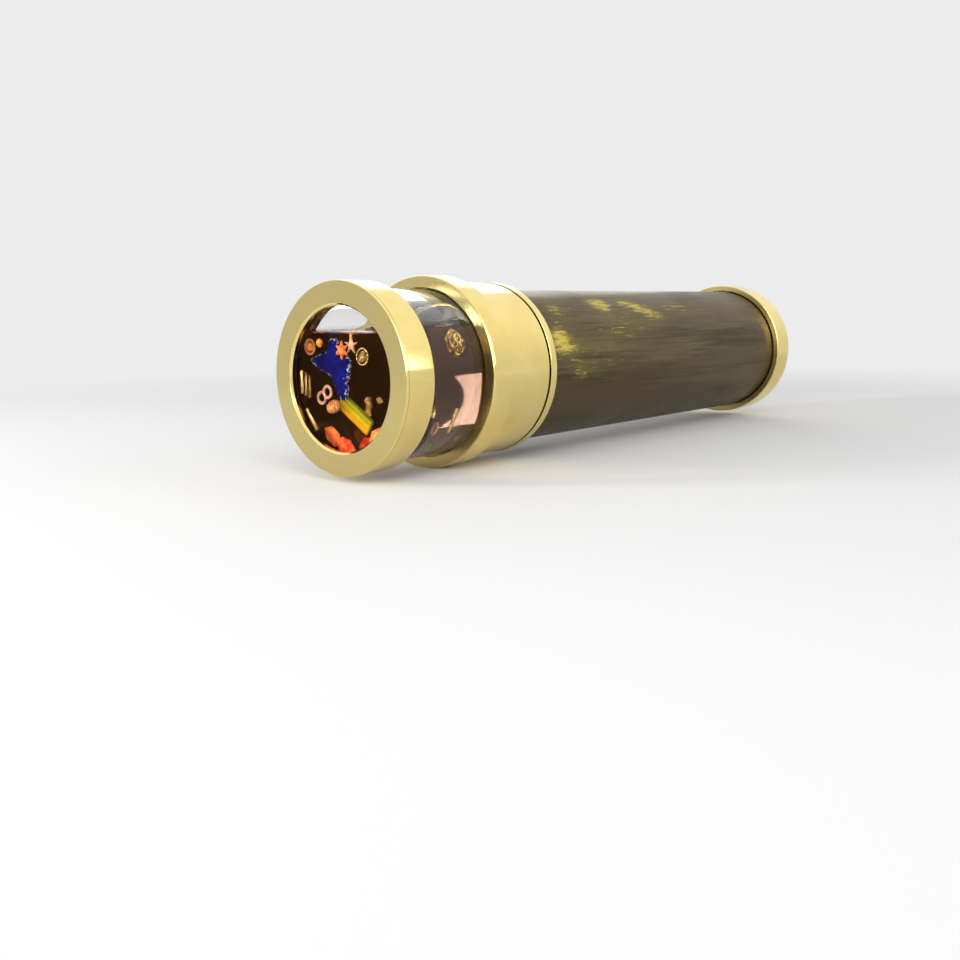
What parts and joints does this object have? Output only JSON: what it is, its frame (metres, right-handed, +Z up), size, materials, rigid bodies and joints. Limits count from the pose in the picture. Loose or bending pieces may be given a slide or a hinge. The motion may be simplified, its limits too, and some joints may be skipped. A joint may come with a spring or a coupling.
{
  "type": "kaleidoscope",
  "caption": "Hand-held brass kaleidoscope: a mirror tube with an eyepiece and a clear liquid-filled glass cell of loose charms that turns on a collar.",
  "frame": {"origin": "under the middle of the kaleidoscope, on the surface it lies on", "axes": "+X along the axis from the object cell to the eyepiece, +Z up with the kaleidoscope lying on its side"},
  "size_m": [0.186, 0.0466, 0.0467],
  "materials": {
    "polished_brass": "mirror polished, lacquered",
    "patinated_brass": "dark brown patina, rubbed through to yellow brass in patches, waxed",
    "clear_glass": "clear and polished",
    "mirror_glass": "front-surface mirror",
    "black_rubber": "matte gasket rubber",
    "bearing_felt": "pressed felt",
    "grey_foam": "closed-cell foam",
    "black_card": "matte black",
    "gold_charm": "bright gold plate",
    "blue_glass": "cobalt glass with crusted edges",
    "coral_glass": "opaque orange-red glass",
    "blush_glass": "milky pink glass",
    "amber_glass": "clear amber glass",
    "striped_glass": "orange, yellow and green canes fused side by side",
    "red_glass": "clear red glass, cut in facets",
    "green_glass": "clear green glass"
  },
  "bodies": {
    "tube": {"main_tube": "patinated_brass", "rear_band": "polished_brass", "bearing_ferrule": "polished_brass", "friction_washer": "bearing_felt", "dust_window": "clear_glass", "mirror_front_plate": "black_card", "mirror_rear_plate": "black_card", "lower_mirror": "mirror_glass", "left_mirror": "mirror_glass", "right_mirror": "mirror_glass", "lower_mirror_pad": "grey_foam", "left_mirror_pad": "grey_foam", "right_mirror_pad": "grey_foam", "eye_lens": "clear_glass", "lens_retaining_ring": "polished_brass", "eyepiece_disc": "polished_brass", "eye_end_ring": "polished_brass"},
    "cell": {"front_bezel_ring": "polished_brass", "front_window": "clear_glass", "front_gasket": "black_rubber", "cell_barrel": "clear_glass", "rear_gasket": "black_rubber", "rear_cell_window": "clear_glass", "flange_ring": "polished_brass", "collar_sleeve": "polished_brass"},
    "front_charms": {"blue_chip": "blue_glass", "coral_star": "coral_glass", "spiked_star": "blush_glass", "amber_bead_ring": "clear_glass", "amber_bead": "amber_glass", "amber_seed_bead": "amber_glass", "filigree_bead_ring": "gold_charm", "filigree_bead": "gold_charm", "gold_bar_1": "gold_charm", "gold_bar_2": "gold_charm", "gold_bar_3": "gold_charm", "long_gold_bar": "gold_charm", "clear_ring_1": "clear_glass", "clear_ring_2": "clear_glass", "clear_ring_3": "clear_glass", "spiral_shell": "blush_glass", "fluted_rod": "striped_glass", "red_shard_1": "red_glass", "red_shard_2": "red_glass", "red_shard_3": "red_glass", "red_shard_4": "red_glass", "gold_nuggets": "gold_charm", "gold_flake_1": "gold_charm", "gold_drop": "gold_charm"},
    "rear_charms": {"openwork_ball": "gold_charm", "rear_gold_bar": "gold_charm", "green_chip": "green_glass", "gold_flake_2": "gold_charm", "gold_flake_3": "gold_charm", "red_shard_5": "red_glass", "amber_chip": "amber_glass"}
  },
  "joints": [
    {"name": "cell_turn", "type": "hinge", "parent": "tube", "child": "cell", "pos_m": [-0.0429, 0, 0.02335], "axis": [1, 0, 0], "continuous": true},
    {"name": "front_charm_drift", "type": "hinge", "parent": "cell", "child": "front_charms", "pos_m": [-0.0888, 0, 0.02335], "axis": [1, 0, 0], "continuous": true},
    {"name": "rear_charm_drift", "type": "hinge", "parent": "cell", "child": "rear_charms", "pos_m": [-0.0754, 0, 0.02335], "axis": [1, 0, 0], "continuous": true}
  ]
}
